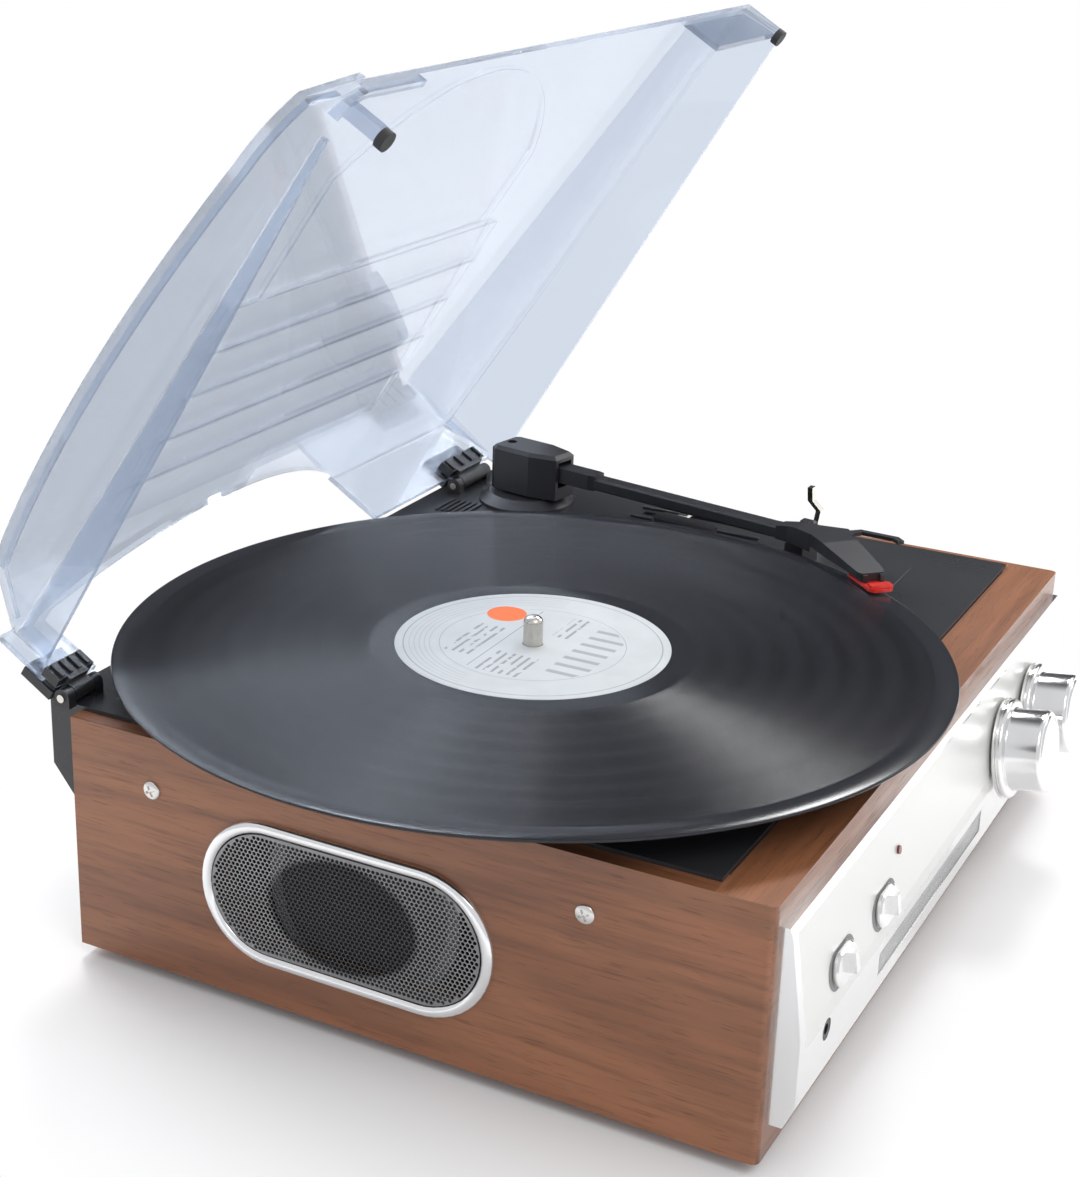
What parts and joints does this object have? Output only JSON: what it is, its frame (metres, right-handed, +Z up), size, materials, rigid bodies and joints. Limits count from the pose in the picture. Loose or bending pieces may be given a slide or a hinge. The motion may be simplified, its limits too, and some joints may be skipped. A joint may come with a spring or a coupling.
{
  "type": "tabletop record player",
  "caption": "Tabletop record player: wooden cabinet, belt-driven platter with record, tonearm, hinged clear lid, front controls and side speakers.",
  "frame": {"origin": "spindle axis, level with the top of a record lying on the mat", "axes": "+Z up along the spindle, -Y out of the front panel, +X towards the tonearm side"},
  "size_m": [0.3753, 0.321, 0.3198],
  "materials": {
    "walnut": "satin",
    "board_back": "matt",
    "black_plastic": "satin",
    "arm_plastic": "satin",
    "lid_clear": "polished",
    "window_clear": "polished",
    "silver": "polished",
    "steel": "polished",
    "grille_black": "satin",
    "knob_silver": "polished",
    "vinyl": "gloss",
    "label_paper": "matt",
    "rubber_black": "matt",
    "felt": "matt",
    "red_plastic": "gloss",
    "cone_paper": "matt",
    "magnet_steel": "satin",
    "brass_bush": "satin",
    "circuit": "satin",
    "scale_white": "matt",
    "lamp_red": "gloss"
  },
  "bodies": {
    "cabinet": {"side_panel_left": "walnut", "side_panel_right": "walnut", "side_screws": "steel", "front_block": "walnut", "base_panel": "board_back", "rear_panel": "board_back", "line_out_sockets": "silver", "cord_gland": "black_plastic", "feet": "rubber_black", "deck_plate": "black_plastic", "bearing_bush": "brass_bush", "motor": "magnet_steel", "drive_belt": "rubber_black", "fascia": "silver", "volume_control": "magnet_steel", "tuning_gang": "magnet_steel", "switch_bodies": "black_plastic", "dial_window": "window_clear", "dial_scale": "scale_white", "headphone_socket": "black_plastic", "pilot_lamp": "lamp_red", "control_board": "circuit", "main_board": "circuit", "transformer": "magnet_steel", "speaker_bezels": "silver", "speaker_grilles": "grille_black", "speaker_baskets": "magnet_steel", "speaker_cones": "cone_paper", "arm_base": "arm_plastic", "arm_rest": "arm_plastic", "cue_bracket": "black_plastic", "hinge_brackets": "black_plastic", "hinge_pins": "steel"},
    "turntable": {"spindle": "steel", "platter": "black_plastic", "mat": "felt", "record_disc": "vinyl", "record_labels": "label_paper"},
    "motor drive": {"motor_pulley": "brass_bush", "motor_shaft": "steel"},
    "arm turret": {"arm_turret": "arm_plastic", "arm_pivot_pin": "steel"},
    "tonearm": {"tonearm": "arm_plastic", "finger_lift": "arm_plastic", "cartridge": "arm_plastic", "stylus": "red_plastic"},
    "cue lever": {"cue_lever": "steel"},
    "lift bar": {"lift_bar": "arm_plastic"},
    "speed selector": {"speed_selector": "steel"},
    "lid": {"lid": "lid_clear", "lid_bumpers": "rubber_black", "hinge_clips": "black_plastic"},
    "volume knob": {"volume_knob": "knob_silver", "volume_shaft": "steel"},
    "tuning knob": {"tuning_knob": "knob_silver", "tuning_shaft": "steel"},
    "dial pointer": {"dial_pointer": "red_plastic"},
    "function switch": {"function_switch_button": "knob_silver"},
    "band switch": {"band_switch_button": "knob_silver"}
  },
  "joints": [
    {"name": "lid_hinge", "type": "hinge", "parent": "cabinet", "child": "lid", "pos_m": [0, 0.128, -0.0097], "axis": [-1, 0, 0], "range_deg": [-58.5, 0]},
    {"name": "turntable_spin", "type": "hinge", "parent": "cabinet", "child": "turntable", "pos_m": [0, 0, 0], "axis": [0, 0, 1], "continuous": true},
    {"name": "motor_spin", "type": "hinge", "parent": "cabinet", "child": "motor drive", "pos_m": [-0.05657, 0.05657, 0], "axis": [0, 0, 1], "continuous": true},
    {"name": "arm_swing", "type": "hinge", "parent": "cabinet", "child": "arm turret", "pos_m": [0.181, 0.095, 0], "axis": [0, 0, -1], "range_deg": [0, 27]},
    {"name": "arm_lift", "type": "hinge", "parent": "arm turret", "child": "tonearm", "pos_m": [0.181, 0.095, 0.003], "axis": [-0.9823, 0.1874, 0], "range_deg": [0, 2.6]},
    {"name": "cue_lever_turn", "type": "hinge", "parent": "cabinet", "child": "cue lever", "pos_m": [0.2016, -0.035, -0.0213], "axis": [1, 0, 0], "range_deg": [0, 25]},
    {"name": "lift_bar_rise", "type": "slide", "parent": "cabinet", "child": "lift bar", "axis": [0, 0, 1], "range_m": [0, 0.004]},
    {"name": "speed_selector_slide", "type": "slide", "parent": "cabinet", "child": "speed selector", "axis": [0, 1, 0], "range_m": [0, 0.016]},
    {"name": "volume_knob_turn", "type": "hinge", "parent": "cabinet", "child": "volume knob", "pos_m": [0.12, -0.1445, -0.0545], "axis": [0, 0.9896, -0.1438], "range_deg": [0, 290]},
    {"name": "tuning_knob_turn", "type": "hinge", "parent": "cabinet", "child": "tuning knob", "pos_m": [0.1605, -0.1445, -0.0545], "axis": [0, 0.9896, -0.1438], "range_deg": [-150, 150]},
    {"name": "dial_pointer_slide", "type": "slide", "parent": "cabinet", "child": "dial pointer", "axis": [1, 0, 0], "range_m": [-0.05, 0.05]},
    {"name": "function_switch_slide", "type": "slide", "parent": "cabinet", "child": "function switch", "axis": [1, 0, 0], "range_m": [0, 0.005]},
    {"name": "band_switch_slide", "type": "slide", "parent": "cabinet", "child": "band switch", "axis": [1, 0, 0], "range_m": [0, 0.005]}
  ],
  "couplings": [
    {"joint": "motor_spin", "follows": "turntable_spin", "ratio": 12.4},
    {"joint": "lift_bar_rise", "follows": "cue_lever_turn", "m_per_rad": 0.009144},
    {"joint": "dial_pointer_slide", "follows": "tuning_knob_turn", "m_per_rad": 0.01906}
  ]
}
